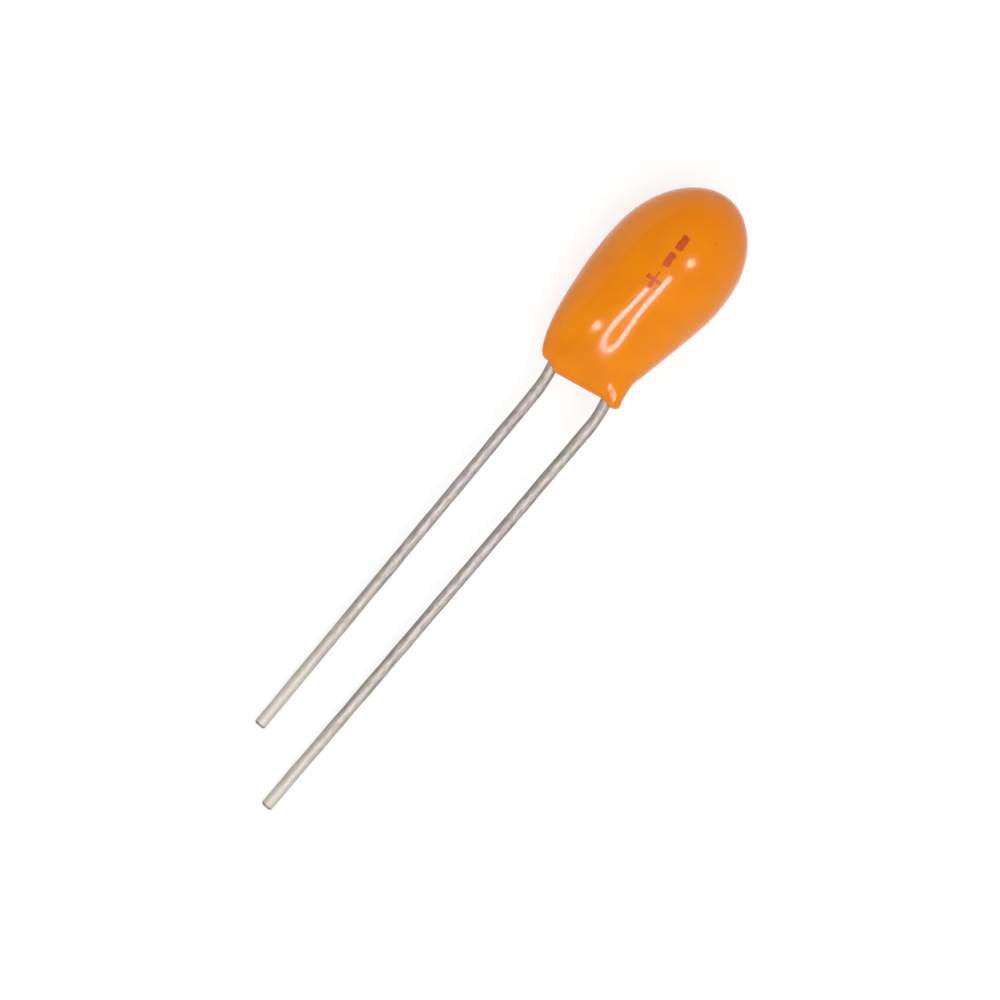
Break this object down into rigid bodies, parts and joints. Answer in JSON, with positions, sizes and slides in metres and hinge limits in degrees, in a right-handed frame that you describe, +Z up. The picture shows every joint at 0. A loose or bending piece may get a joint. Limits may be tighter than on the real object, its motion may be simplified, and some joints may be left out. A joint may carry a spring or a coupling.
{
  "type": "tantalum capacitor",
  "caption": "Dipped tantalum bead capacitor: an orange egg-shaped resin bead on a longer positive and a shorter negative wire lead, lying at rest.",
  "frame": {"origin": "middle of the part's footprint, on the surface that it lies on", "axes": "+X from the lead tips to the bead's crown, +Y towards the negative lead's side, +Z up from the surface, with the marked face of the bead upwards"},
  "size_m": [0.0302, 0.0054, 0.005],
  "materials": {
    "resin": "gloss",
    "sintered_tantalum": "matte",
    "tantalum_wire": "satin",
    "washer_plastic": "matte",
    "silver_paint": "satin",
    "solder": "satin",
    "tinned_wire": "satin"
  },
  "bodies": {
    "root": {"resin_coat": "resin", "anode_slug": "sintered_tantalum", "riser_wire": "tantalum_wire", "riser_washer": "washer_plastic", "cathode_coat": "silver_paint", "cathode_solder": "solder", "positive_lead": "tinned_wire", "negative_lead": "tinned_wire"}
  },
  "joints": []
}
